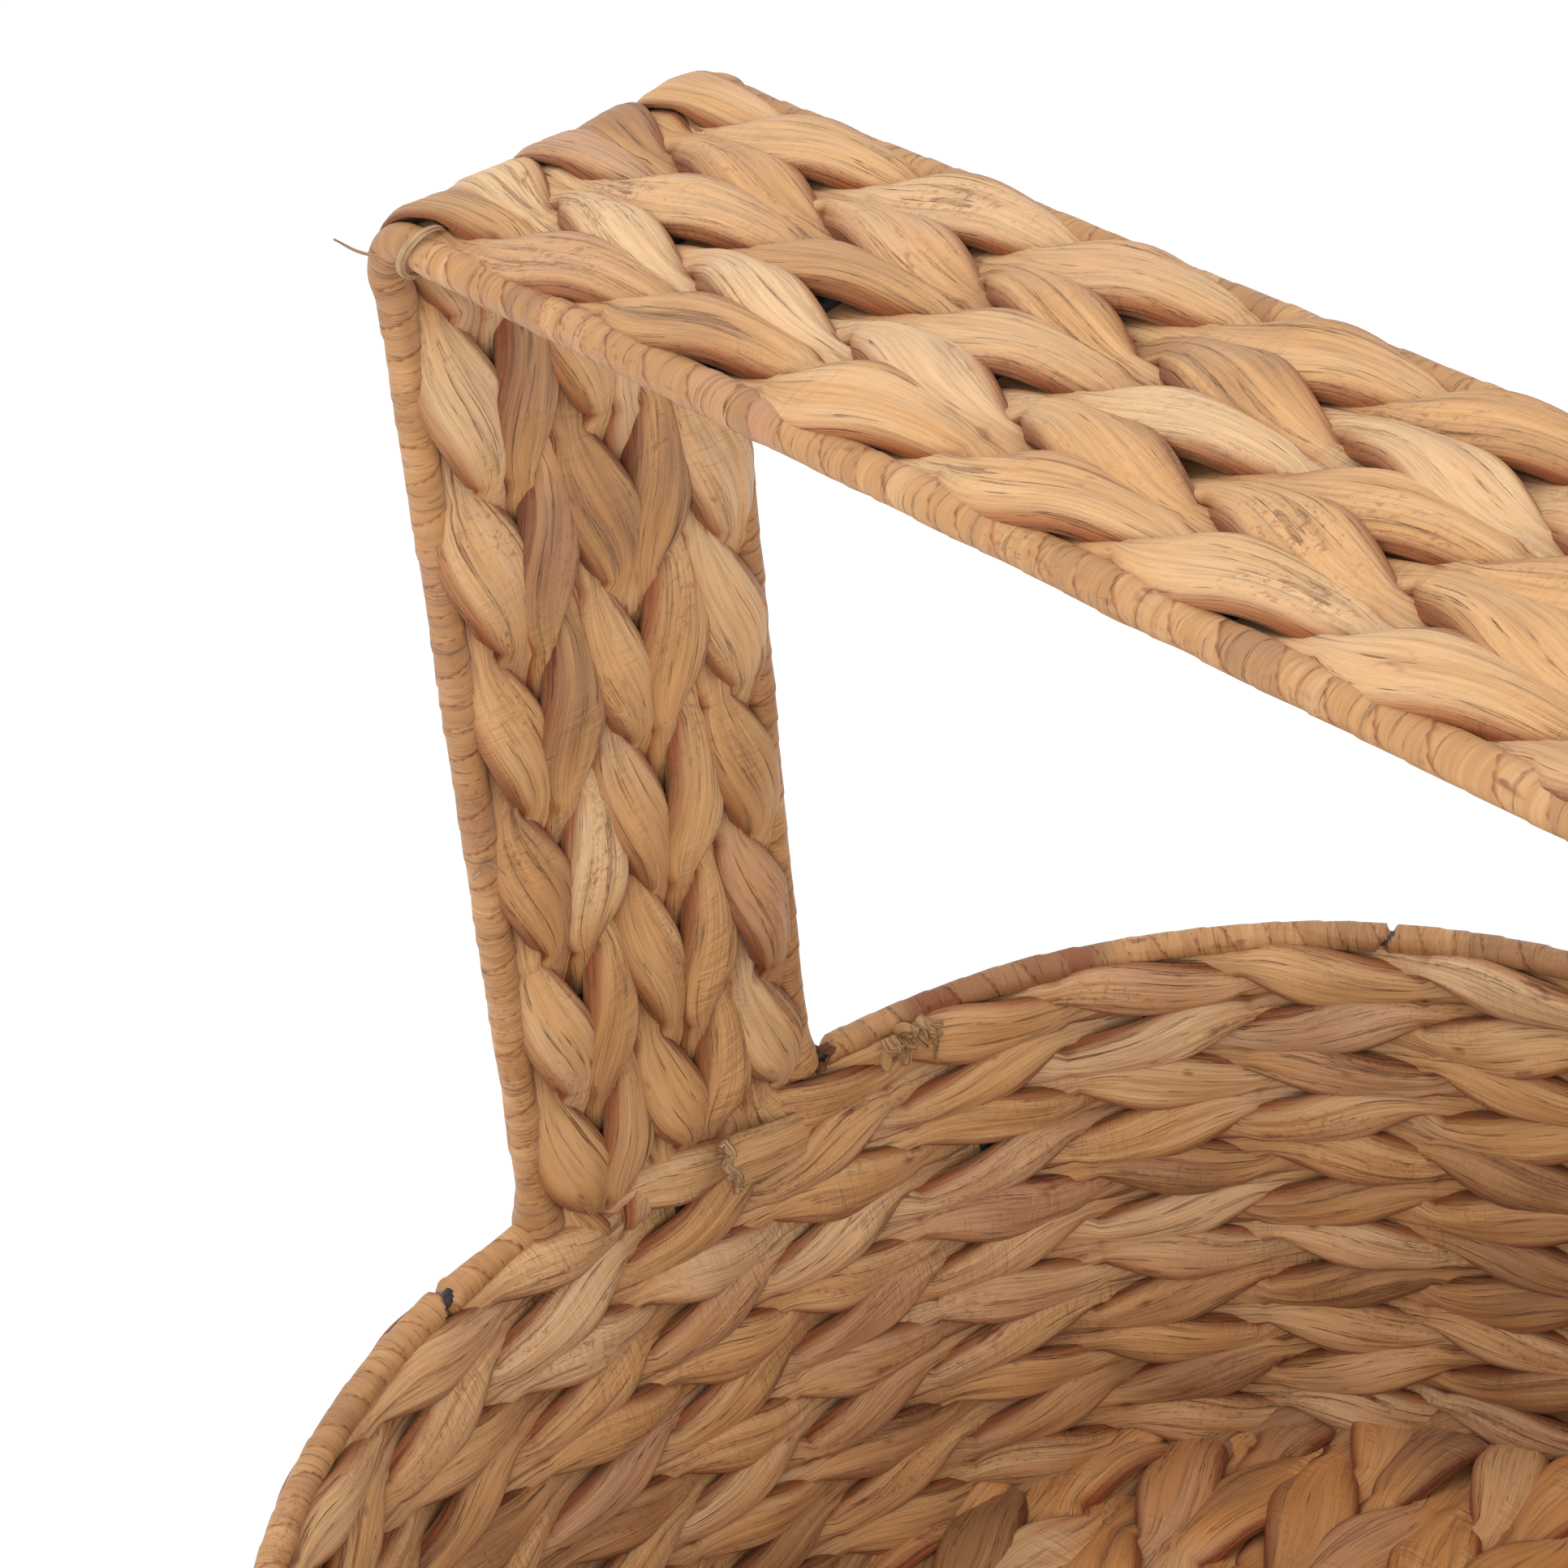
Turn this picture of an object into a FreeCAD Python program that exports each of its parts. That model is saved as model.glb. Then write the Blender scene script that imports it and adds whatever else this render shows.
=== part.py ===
import FreeCAD, Part
import math
import os

# A basket twined from dried stems on a welded wire frame, with a broad woven strap handle.
# Millimetres, +Z up. The origin is under the middle of the basket, on the surface it stands on.
# X runs along the handle's bar, Y across it.

# ---- rim outline: eight tangent arcs, a round that is slightly squared ----
RIM_HALF_X = 164.4        # rim wire centre line, half its length along the handle
RIM_HALF_Y = 167.5        # half its width across the handle
CORNER_X = 22.5           # centre of each quarter's corner arc
CORNER_Y = 26.0
CORNER_R = 139.7

# ---- heights ----
RIM_Z = 137.0             # rim wire above the table
FLOOR_MID = 5.5           # middle of the floor's thickness, where its wires lie
BAR_RISE = 227.8          # handle bar's middle above the rim wire
WALL_TAPER = 7.0          # the base ring lies this far inside the rim ring

# ---- wires ----
RING_WIRE_R = 1.6         # rim, base and handle wires
STAKE_R = 1.2             # stakes, rungs and floor wires
BINDING_R = 2.9           # outside of the strips wound on the rim, base and handle wires
WELD_GAP = 0.05           # left between pieces that meet, so that none overlap
HOLE_EXTRA = 0.15         # how much wider a binding's gap is than the wire in it

# ---- weave ----
WEAVE_EDGE = 3.8          # from a course's middle to its faces, at its edges
WEAVE_BULGE = 5.6         # and at the crowns of its stitches
COURSE_SPACE = 0.3        # between neighbouring courses
COURSES = 11
FLOOR_ROWS = 19
FLOOR_PITCH = 15.9
FLOOR_TURN = 15.0         # degrees from the Y axis to the floor's rows
FLOOR_WIRES = 7
FLOOR_WIRE_PITCH = 38.0
FLOOR_EDGE = WALL_TAPER + 6.0   # the floor's rows end this far inside the rim outline
FLOOR_CHAMFER = 1.2
FLOOR_REACH = 2 * RIM_HALF_Y    # longer than the floor, before its pieces are trimmed to the outline

# ---- handle ----
STRAP_HALF = 33.0         # from the strap's middle to each handle wire
FOOT_X = 162.75           # handle wires meet the rim here
BAR_HALF = 137.1          # corner of the bent handle wire, before its bend
BEND_R = 9.0
STRAP_ROWS = 5
POST_RUNG_FIRST = 13.0    # height of the lowest rung above the rim wire
POST_RUNG_PITCH = 36.0
POST_RUNGS = 6
BAR_RUNG_PITCH = 38.2
BAR_RUNGS = 6
STRAP_FOOT = 4.6          # the strap's weave starts this far above the rim wire
BINDING_FOOT = 3.4        # and the handle's bindings this far

# ---- stakes ----
STAKES_PER_FLANK = 11     # between the handle's feet, round each half of the basket

UP = FreeCAD.Vector(0, 0, 1)


def vec(x, y, z=0.0):
    return FreeCAD.Vector(x, y, z)


def save(name, shape):
    shape.exportStep("parts/" + name + ".step")
    print(name, "solids", len(shape.Solids), "volume", round(shape.Volume), "valid", shape.isValid())


def fused(solids):
    return solids[0].multiFuse(solids[1:]).removeSplitter()


def rod(start, end, radius):
    run = end - start
    return Part.makeCylinder(radius, run.Length, start, run)


# ---- the rim outline and everything that follows it round ----

def side_radius(half, along, across):
    """Radius of the side arc that meets the corner arcs tangentially at a side's two ends."""
    step = along - half
    return (CORNER_R**2 - step**2 - across**2) / (2 * (step + CORNER_R))


def outline_arcs():
    """The outline's arcs, counter-clockwise from +X: centre, radius, first and last angle."""
    end_r = side_radius(RIM_HALF_X, CORNER_X, CORNER_Y)
    flank_r = side_radius(RIM_HALF_Y, CORNER_Y, CORNER_X)
    first = math.asin(CORNER_Y / (end_r - CORNER_R))
    last = math.pi / 2 - math.asin(CORNER_X / (flank_r - CORNER_R))
    end_x = RIM_HALF_X - end_r
    flank_y = RIM_HALF_Y - flank_r
    half_turn = math.pi
    return [
        (end_x, 0, end_r, -first, first),
        (CORNER_X, CORNER_Y, CORNER_R, first, last),
        (0, flank_y, flank_r, last, half_turn - last),
        (-CORNER_X, CORNER_Y, CORNER_R, half_turn - last, half_turn - first),
        (-end_x, 0, end_r, half_turn - first, half_turn + first),
        (-CORNER_X, -CORNER_Y, CORNER_R, half_turn + first, half_turn + last),
        (0, -flank_y, flank_r, half_turn + last, 2 * half_turn - last),
        (CORNER_X, -CORNER_Y, CORNER_R, 2 * half_turn - last, 2 * half_turn - first),
    ]


ARCS = outline_arcs()


def outline_length():
    return sum(radius * (last - first) for _, _, radius, first, last in ARCS)


def outline_point(distance, offset, z):
    """The point a given distance round the rim outline from +X, moved outward by offset."""
    left = (distance + ARCS[0][2] * ARCS[0][4]) % outline_length()
    for cx, cy, radius, first, last in ARCS:
        span = radius * (last - first)
        if left <= span:
            break
        left -= span
    angle = first + left / radius
    reach = radius + offset
    return vec(cx + reach * math.cos(angle), cy + reach * math.sin(angle), z)


def ring(section):
    """Carry a section round the outline. section(x) draws it, x being where offset is zero."""
    pieces = []
    for cx, cy, radius, first, last in ARCS:
        face = section(radius)
        face.rotate(vec(0, 0), UP, math.degrees(first))
        face.translate(vec(cx, cy))
        pieces.append(face.revolve(vec(cx, cy), UP, math.degrees(last - first)))
    return fused(pieces)


def disc_section(offset, z, outer, inner=0.0):
    """A round section, hollow if inner is given."""
    def draw(x):
        middle = vec(x + offset, 0, z)
        wires = [Part.Wire(Part.makeCircle(outer, middle, vec(0, 1, 0)))]
        if inner:
            wires.append(Part.Wire(Part.makeCircle(inner, middle, vec(0, 1, 0))))
        return Part.Face(wires, "Part::FaceMakerBullseye")
    return draw


def course_section(offset, z_low, z_high):
    """A course's section: two stems side by side with the stakes between, crowned on both faces."""
    def draw(x):
        middle = x + offset
        z_mid = (z_low + z_high) / 2
        corners = [vec(middle + side * WEAVE_EDGE, 0, z) for side, z in
                   ((1, z_low), (1, z_high), (-1, z_high), (-1, z_low))]
        crowns = [vec(middle + side * WEAVE_BULGE, 0, z_mid) for side in (1, -1)]
        edges = [
            Part.Arc(corners[0], crowns[0], corners[1]).toShape(),
            Part.LineSegment(corners[1], corners[2]).toShape(),
            Part.Arc(corners[2], crowns[1], corners[3]).toShape(),
            Part.LineSegment(corners[3], corners[0]).toShape(),
        ]
        return Part.Face(Part.Wire(edges))
    return draw


def outline_prism(offset, z_low, z_high):
    """A solid block whose plan is the outline moved outward by offset."""
    edges = []
    for cx, cy, radius, first, last in ARCS:
        reach = radius + offset
        at = [vec(cx + reach * math.cos(t), cy + reach * math.sin(t), z_low)
              for t in (first, (first + last) / 2, last)]
        edges.append(Part.Arc(at[0], at[1], at[2]).toShape())
    return Part.Face(Part.Wire(edges)).extrude(vec(0, 0, z_high - z_low))


# ---- stakes ----

def stake_positions():
    """Distances round the outline of all the stakes: three under each end of the strap."""
    half = outline_length() / 2
    foot = STRAP_HALF
    pitch = (half - 2 * foot) / (STAKES_PER_FLANK + 1)
    near_end = [-foot, 0.0]
    round_half = [foot + pitch * i for i in range(STAKES_PER_FLANK + 1)]
    one_half = near_end + round_half
    return one_half + [half + d for d in one_half]


def stake_ends(distance):
    low = outline_point(distance, -WALL_TAPER, FLOOR_MID)
    high = outline_point(distance, 0.0, RIM_Z)
    along = high - low
    along.normalize()
    clear = RING_WIRE_R + WELD_GAP + STAKE_R * WALL_TAPER / (RIM_Z - FLOOR_MID)
    return low + along * clear, high - along * clear


def stake_rods(radius):
    """A rod on the line of each stake."""
    rods = []
    for distance in stake_positions():
        low, high = stake_ends(distance)
        rods.append(rod(low, high, radius))
    return rods


# ---- floor ----

def floor_frame(shape):
    """Turn a shape drawn with its rows along Y to the direction of the floor's rows."""
    shape.rotate(vec(0, 0), UP, FLOOR_TURN)
    return shape


def floor_rod(index, radius):
    """A rod on the line of a floor wire, longer than the floor is wide."""
    y = (index - (FLOOR_WIRES - 1) / 2) * FLOOR_WIRE_PITCH
    return floor_frame(rod(vec(-FLOOR_REACH, y, FLOOR_MID), vec(FLOOR_REACH, y, FLOOR_MID), radius))


def floor_wire(index):
    inside = outline_prism(-WALL_TAPER - RING_WIRE_R - WELD_GAP, 0, 2 * FLOOR_MID)
    return floor_rod(index, STAKE_R).common(inside)


def floor_bar(x):
    """A floor row before trimming: a long bar, flat below with bevelled edges and crowned above."""
    half = FLOOR_PITCH / 2 - COURSE_SPACE / 2
    flat = half - FLOOR_CHAMFER
    shoulder = FLOOR_MID + WEAVE_EDGE
    y = -FLOOR_REACH
    corners = [vec(x - half, y, shoulder), vec(x - half, y, FLOOR_CHAMFER), vec(x - flat, y, 0),
               vec(x + flat, y, 0), vec(x + half, y, FLOOR_CHAMFER), vec(x + half, y, shoulder)]
    edges = [Part.LineSegment(a, b).toShape() for a, b in zip(corners, corners[1:])]
    edges.append(Part.Arc(corners[-1], vec(x, y, 2 * FLOOR_MID), corners[0]).toShape())
    return Part.Face(Part.Wire(edges)).extrude(vec(0, 2 * FLOOR_REACH, 0))


def floor_row(index):
    x = (index - (FLOOR_ROWS - 1) / 2) * FLOOR_PITCH
    inside = outline_prism(-FLOOR_EDGE, -1, 2 * FLOOR_MID + 1)
    bores = [floor_rod(i, STAKE_R + HOLE_EXTRA) for i in range(FLOOR_WIRES)]
    return floor_frame(floor_bar(x)).common(inside).cut(Part.makeCompound(bores))


# ---- handle ----

def post_direction():
    """Unit vector up the post on the -X side."""
    run = vec(FOOT_X - BAR_HALF, 0, BAR_RISE)
    run.normalize()
    return run


def handle_corner(offset):
    """Corner of the handle's line, moved outward by offset, on the -X side."""
    up = post_direction()
    slant = math.hypot(up.x, up.z)
    z = RIM_Z + BAR_RISE + offset
    along = (z - RIM_Z) / up.z
    return vec(-FOOT_X + up.x * along - offset * slant / up.z, 0, z)


def handle_edges(offset, foot, y):
    """The handle's line as lines and bends, moved outward by offset, from foot above the rim."""
    up = post_direction()
    outward = vec(-up.z, 0, up.x)
    start = vec(-FOOT_X, 0, RIM_Z) + up * (foot / up.z) + outward * offset
    corner = handle_corner(offset)
    turn = math.acos(up.x)
    radius = BEND_R + offset
    setback = radius * math.tan(turn / 2)
    before = corner - up * setback
    after = corner + vec(setback, 0, 0)
    centre = after - vec(0, 0, radius)
    halfway = corner - centre
    halfway.normalize()
    middle = centre + halfway * radius
    left = [start, before, middle, after]
    right = [vec(-p.x, 0, p.z) for p in reversed(left)]
    points = [p + vec(0, y, 0) for p in left + right]
    return [
        Part.LineSegment(points[0], points[1]).toShape(),
        Part.Arc(points[1], points[2], points[3]).toShape(),
        Part.LineSegment(points[3], points[4]).toShape(),
        Part.Arc(points[4], points[5], points[6]).toShape(),
        Part.LineSegment(points[6], points[7]).toShape(),
    ]


def handle_pipe(y, foot, radius):
    edges = handle_edges(0.0, foot, y)
    start = edges[0].Vertexes[0].Point
    ring_wire = Part.Wire(Part.makeCircle(radius, start, post_direction()))
    return Part.Wire(edges).makePipeShell([ring_wire], True, False)


def handle_wire(y):
    tilt = abs(post_direction().x) * RING_WIRE_R
    return handle_pipe(y, RING_WIRE_R + WELD_GAP + tilt, RING_WIRE_R)


def rung_spots():
    """Points on the handle's line, at y = 0, where its rungs cross."""
    up = post_direction()
    spots = []
    for i in range(POST_RUNGS):
        height = POST_RUNG_FIRST + i * POST_RUNG_PITCH
        spots.append(vec(-FOOT_X, 0, RIM_Z) + up * (height / up.z))
    bend = handle_edges(0.0, STRAP_FOOT, 0.0)[1]
    spots.append(bend.valueAt((bend.FirstParameter + bend.LastParameter) / 2))
    spots += [vec(-p.x, 0, p.z) for p in spots]
    for i in range(BAR_RUNGS):
        spots.append(vec((i - (BAR_RUNGS - 1) / 2) * BAR_RUNG_PITCH, 0, RIM_Z + BAR_RISE))
    return spots


def handle_rungs():
    half = STRAP_HALF - RING_WIRE_R - WELD_GAP
    return [rod(p - vec(0, half, 0), p + vec(0, half, 0), STAKE_R) for p in rung_spots()]


def handle_binding(side):
    y = side * STRAP_HALF
    shell = handle_pipe(y, BINDING_FOOT, BINDING_R)
    bore = handle_pipe(y, BINDING_FOOT - 1, RING_WIRE_R + WELD_GAP)
    slots = [rod(p, p + vec(0, side * (STRAP_HALF - RING_WIRE_R), 0), STAKE_R + HOLE_EXTRA)
             for p in rung_spots()]
    return shell.cut(Part.makeCompound([bore] + slots))


def strap_row(index):
    """One course of the strap: up a post, along the bar and down, with a bore for each rung."""
    span = 2 * (STRAP_HALF - BINDING_R) / STRAP_ROWS
    low = -STRAP_HALF + BINDING_R + index * span + COURSE_SPACE / 2
    outer = Part.Wire(handle_edges(WEAVE_BULGE, STRAP_FOOT, low))
    inner = Part.Wire(handle_edges(-WEAVE_BULGE, STRAP_FOOT, low))
    starts = [w.OrderedVertexes[0].Point for w in (outer, inner)]
    ends = [w.OrderedVertexes[-1].Point for w in (outer, inner)]
    closing = [Part.LineSegment(a, b).toShape() for a, b in (starts, ends)]
    edges = Part.__sortEdges__(outer.Edges + inner.Edges + closing)
    band = Part.Face(Part.Wire(edges)).extrude(vec(0, span - COURSE_SPACE, 0))
    half = vec(0, STRAP_HALF, 0)
    bores = [rod(p - half, p + half, STAKE_R + HOLE_EXTRA) for p in rung_spots()]
    return band.cut(Part.makeCompound(bores))


# ---- bindings of the two rings ----

def ring_binding(offset, z, slots):
    tube = ring(disc_section(offset, z, BINDING_R, RING_WIRE_R + WELD_GAP))
    return tube.cut(Part.makeCompound(slots))


def rim_slots():
    """Gaps in the rim's binding for the stakes below it and the handle wires above it."""
    slots = stake_rods(STAKE_R + HOLE_EXTRA)
    up = post_direction()
    for x_side in (-1, 1):
        for y in (-STRAP_HALF, STRAP_HALF):
            foot = vec(x_side * FOOT_X, y, RIM_Z)
            climb = vec(-x_side * up.x, 0, up.z)
            slots.append(rod(foot, foot + climb * 2 * BINDING_R, RING_WIRE_R + HOLE_EXTRA))
    return slots


def base_slots():
    """Gaps in the base binding for the stakes above it and the floor wires beside it."""
    stakes = stake_rods(STAKE_R + HOLE_EXTRA)
    return stakes + [floor_rod(i, STAKE_R + HOLE_EXTRA) for i in range(FLOOR_WIRES)]


def wall_course(index):
    low_limit = FLOOR_MID + BINDING_R + COURSE_SPACE
    high_limit = RIM_Z - BINDING_R - COURSE_SPACE
    pitch = (high_limit - low_limit) / COURSES
    z_low = low_limit + index * pitch + COURSE_SPACE / 2
    z_high = z_low + pitch - COURSE_SPACE
    rise = ((z_low + z_high) / 2 - FLOOR_MID) / (RIM_Z - FLOOR_MID)
    offset = -WALL_TAPER * (1 - rise)
    bores = Part.makeCompound(stake_rods(STAKE_R + HOLE_EXTRA))
    return ring(course_section(offset, z_low, z_high)).cut(bores)


def main():
    os.makedirs("parts", exist_ok=True)
    save("rim_wire", ring(disc_section(0.0, RIM_Z, RING_WIRE_R)))
    save("base_wire", ring(disc_section(-WALL_TAPER, FLOOR_MID, RING_WIRE_R)))
    save("wall_stakes", Part.makeCompound(stake_rods(STAKE_R)))
    for i in range(FLOOR_WIRES):
        save("floor_wire_%d" % (i + 1), floor_wire(i))
    save("handle_wire_front", handle_wire(-STRAP_HALF))
    save("handle_wire_back", handle_wire(STRAP_HALF))
    save("handle_rungs", Part.makeCompound(handle_rungs()))
    save("handle_binding_front", handle_binding(-1))
    save("handle_binding_back", handle_binding(1))
    save("rim_binding", ring_binding(0.0, RIM_Z, rim_slots()))
    save("base_binding", ring_binding(-WALL_TAPER, FLOOR_MID, base_slots()))
    for i in range(COURSES):
        save("wall_course_%02d" % (i + 1), wall_course(i))
    for i in range(FLOOR_ROWS):
        save("floor_row_%02d" % (i + 1), floor_row(i))
    for i in range(STRAP_ROWS):
        save("strap_row_%d" % (i + 1), strap_row(i))


main()
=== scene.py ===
import math
from collections import namedtuple

import bpy
import numpy as np
from bpy.props import FloatProperty, FloatVectorProperty, IntProperty, PointerProperty
from mathutils import Matrix, Vector


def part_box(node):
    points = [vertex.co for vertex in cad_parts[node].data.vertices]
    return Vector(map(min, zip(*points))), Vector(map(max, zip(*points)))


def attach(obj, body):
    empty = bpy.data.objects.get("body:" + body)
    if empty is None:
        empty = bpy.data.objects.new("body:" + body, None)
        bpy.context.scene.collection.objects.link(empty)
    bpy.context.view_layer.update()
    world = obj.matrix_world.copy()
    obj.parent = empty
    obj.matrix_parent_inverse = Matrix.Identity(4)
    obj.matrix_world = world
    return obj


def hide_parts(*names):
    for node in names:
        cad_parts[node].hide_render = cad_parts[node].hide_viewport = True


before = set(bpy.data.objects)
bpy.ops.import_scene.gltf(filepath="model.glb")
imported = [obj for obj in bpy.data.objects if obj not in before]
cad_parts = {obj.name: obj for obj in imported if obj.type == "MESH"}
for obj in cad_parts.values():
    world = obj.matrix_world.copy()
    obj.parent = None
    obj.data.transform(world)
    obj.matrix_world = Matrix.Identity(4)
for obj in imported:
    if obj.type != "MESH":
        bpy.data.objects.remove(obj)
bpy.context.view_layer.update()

bl_info = {
    "name": "Twined Stem Basket",
    "version": (1, 0, 0),
    "blender": (4, 5, 0),
    "location": "3D View > Sidebar > Basket",
    "description": "Weaves a basket of dried stems round a welded wire frame",
    "category": "Add Mesh",
}

MM = 0.001
LOWEST = 0.05 * MM  # no stem lies below this height
BODY = "root"


# --- Sizes and colours that a user would change ---

def length(name, text, value, low=0.0):
    return FloatProperty(name=name, description=text, default=value, min=low, unit="LENGTH", precision=5)


def share(name, text, value, low=0.0, high=1.0):
    return FloatProperty(name=name, description=text, default=value, min=low, max=high, subtype="FACTOR")


def angle(name, text, degrees):
    return FloatProperty(name=name, description=text, default=math.radians(degrees), subtype="ANGLE")


def amount(name, text, value, low=0.0):
    return FloatProperty(name=name, description=text, default=value, min=low)


def number(name, text, value, low=1):
    return IntProperty(name=name, description=text, default=value, min=low)


def colour(name, text, value):
    return FloatVectorProperty(name=name, description=text, default=value, size=3, min=0, max=1,
                               subtype="COLOR")


class BasketFrameSizes(bpy.types.PropertyGroup):
    """Where the wire frame's outline, stakes and rungs lie"""
    corner_x: length("Corner centre X", "Centre of the outline's corner arcs, along the handle", 22.5 * MM)
    corner_y: length("Corner centre Y", "Centre of the outline's corner arcs, across the handle", 26.0 * MM)
    corner_r: length("Corner radius", "Radius of the outline's corner arcs", 139.7 * MM)
    wire_r: length("Ring wire radius", "Radius of the rim, base and handle wires", 1.6 * MM)
    flank_stakes: number("Stakes per flank", "Stakes between the strap's feet, each side", 11)
    floor_wire_pitch: length("Floor wire pitch", "Distance between the floor's cross wires", 38.0 * MM)
    floor_turn: angle("Floor turn", "Angle from the Y axis to the floor's rows", 15.0)
    foot_x: length("Post foot", "Distance from the middle to where a post meets the rim", 162.75 * MM)
    bar_half: length("Half bar", "Distance from the middle to the handle's corner", 137.1 * MM)
    bend_r: length("Bend radius", "Radius of the handle wire's bends", 9.0 * MM)
    rung_first: length("First rung", "Height of a post's lowest rung above the rim", 13.0 * MM)
    post_rung_pitch: length("Post rung pitch", "Distance between a post's rungs", 36.0 * MM)
    post_rungs: number("Post rungs", "Rungs in each post", 6)
    bar_rung_pitch: length("Bar rung pitch", "Distance between the bar's rungs", 38.2 * MM)
    bar_rungs: number("Bar rungs", "Rungs in the bar", 6)


class BasketWeaveSizes(bpy.types.PropertyGroup):
    """How thick, full and uneven the stems lie"""
    half_depth: length("Half depth", "From a course's middle to the crown of its stitches", 6.4 * MM)
    swell: share("Swell", "How far a stitch stands wider than its share of the course", 1.19, 0.5, 1.5)
    pinch: share("Pinch", "Width left where two stems cross, as a part of a stitch's width", 0.43)
    slant: share("Slant", "How far a stem moves across its course between crossings", 0.52)
    uneven: share("Unevenness", "How much the widths of stitches differ", 0.12)
    crease_depth: length("Crease depth", "Depth of the folds along a stem", 0.36 * MM)
    ridge_depth: length("Ridge depth", "Height of the fine ridges along a stem", 0.12 * MM)
    step: length("Step", "Distance between rings of points along a stem", 1.7 * MM, 0.0005)
    around: number("Points round a stem", "Points in each ring", 46, 8)
    strip_width: length("Strip width", "Width of a turn of the binding strips", 8.0 * MM)
    strip_lift: length("Strip lift", "How far a turn of binding bulges", 0.46 * MM)


class BasketColours(bpy.types.PropertyGroup):
    """Colours of the dried stems, the wire and the stage"""
    straw: colour("Straw", "The palest stems", (0.655, 0.418, 0.222))
    tan: colour("Tan", "Most stems", (0.565, 0.302, 0.120))
    brown: colour("Brown", "The darkest stems", (0.335, 0.165, 0.068))
    rose: colour("Rose brown", "Stems that dried with a red tinge", (0.420, 0.208, 0.118))
    crease: colour("Crease", "Stain in the folds", (0.205, 0.080, 0.030))
    speck: colour("Speck", "Small spots and blotches", (0.225, 0.062, 0.030))
    scorch: colour("Scorch", "Stretches of strip that dried dark", (0.215, 0.066, 0.022))
    # Painted shade and bounce light: a darker, more orange colour for the floor's stems, standing in for the
    # light inside the basket
    shaded_amber: colour("Amber", "Most of the floor's stems", (0.600, 0.278, 0.092))
    strip: colour("Binding", "The strips wound on the wires", (0.465, 0.236, 0.090))
    paint: colour("Wire paint", "Paint on the steel wire", (0.012, 0.012, 0.013))
    ground: colour("Floor", "The plain floor it stands on", (0.97, 0.97, 0.97))


class BasketStage(bpy.types.PropertyGroup):
    """Camera and lights"""
    camera_x: length("Camera X", "Camera position", 0.4256, -10)
    camera_y: length("Camera Y", "Camera position", -0.3453, -10)
    camera_z: length("Camera Z", "Camera position", 0.6712)
    heading: angle("Heading", "Camera's turn from the Y axis", -56.61)
    dip: angle("Dip", "How far the camera looks down", 33.63)
    roll: angle("Roll", "Camera's roll", 9.97)
    lens: amount("Lens", "Focal length in millimetres", 97.99, 1)
    key: amount("Key light", "Power of the overhead light", 6.0)
    fill: amount("Fill light", "Power of the light beside the camera", 12.0)
    sky: amount("Sky", "Strength of the white surroundings", 1.0)


def settings():
    return bpy.context.scene.twined_basket


class BasketSettings(bpy.types.PropertyGroup):
    """Everything that the operators read"""
    frame_sizes: PointerProperty(type=BasketFrameSizes)
    weave: PointerProperty(type=BasketWeaveSizes)
    colours: PointerProperty(type=BasketColours)
    stage: PointerProperty(type=BasketStage)


# --- The lines that the stems follow ---

# points, outward normals and width directions are (n, 3). distance runs along the line, and stake
# counts the wires crossed, whole numbers falling on a wire. All are numpy arrays, in metres.
Lay = namedtuple("Lay", "points normals widths distance stake closed")


def node_middle(node):
    low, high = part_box(node)
    return [(a + b) / 2 for a, b in zip(low, high)]


def node_half(node):
    low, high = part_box(node)
    return [(b - a) / 2 for a, b in zip(low, high)]


def base_offset():
    """How far outward from the rim's outline the base wire runs."""
    return node_half("base_wire")[0] - node_half("rim_wire")[0]


def side_radius(half, along, across, corner):
    """Radius of the side arc that meets the corner arcs tangentially."""
    step = along - half
    return (corner**2 - step**2 - across**2) / (2 * (step + corner))


def outline_arcs():
    """The rim outline's eight tangent arcs: centre, radius, first and last angle."""
    sizes = settings().frame_sizes
    half_x, half_y, _ = node_half("rim_wire")
    half_x -= sizes.wire_r
    half_y -= sizes.wire_r
    cx, cy, corner = sizes.corner_x, sizes.corner_y, sizes.corner_r
    end_r = side_radius(half_x, cx, cy, corner)
    flank_r = side_radius(half_y, cy, cx, corner)
    first = math.asin(cy / (end_r - corner))
    last = math.pi / 2 - math.asin(cx / (flank_r - corner))
    end_x, flank_y = half_x - end_r, half_y - flank_r
    return [
        (end_x, 0, end_r, -first, first),
        (cx, cy, corner, first, last),
        (0, flank_y, flank_r, last, math.pi - last),
        (-cx, cy, corner, math.pi - last, math.pi - first),
        (-end_x, 0, end_r, math.pi - first, math.pi + first),
        (-cx, -cy, corner, math.pi + first, math.pi + last),
        (0, -flank_y, flank_r, math.pi + last, 2 * math.pi - last),
        (cx, -cy, corner, 2 * math.pi - last, 2 * math.pi - first),
    ]


def outline_length():
    return sum(radius * (last - first) for _, _, radius, first, last in outline_arcs())


def outline_at(distance, offset):
    """Plan points and outward directions at distances round the outline from +X."""
    arcs = np.array(outline_arcs())
    spans = arcs[:, 2] * (arcs[:, 4] - arcs[:, 3])
    ends = np.cumsum(spans)
    along = (np.asarray(distance) + arcs[0, 2] * arcs[0, 4]) % ends[-1]
    which = np.minimum(np.searchsorted(ends, along), len(arcs) - 1)
    cx, cy, radius, first, _ = arcs[which].T
    angle = first + (along - ends[which] + spans[which]) / radius
    out = np.stack([np.cos(angle), np.sin(angle)], axis=1)
    return np.stack([cx, cy], axis=1) + out * (radius + offset)[:, None], out


def stake_distances():
    """Distances round the outline of the stakes: three under each end of the strap."""
    sizes = settings().frame_sizes
    half = outline_length() / 2
    foot = strap_half()
    pitch = (half - 2 * foot) / (sizes.flank_stakes + 1)
    one_half = [-foot, 0.0] + [foot + pitch * i for i in range(sizes.flank_stakes + 1)]
    return np.array(one_half + [half + d for d in one_half])


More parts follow.
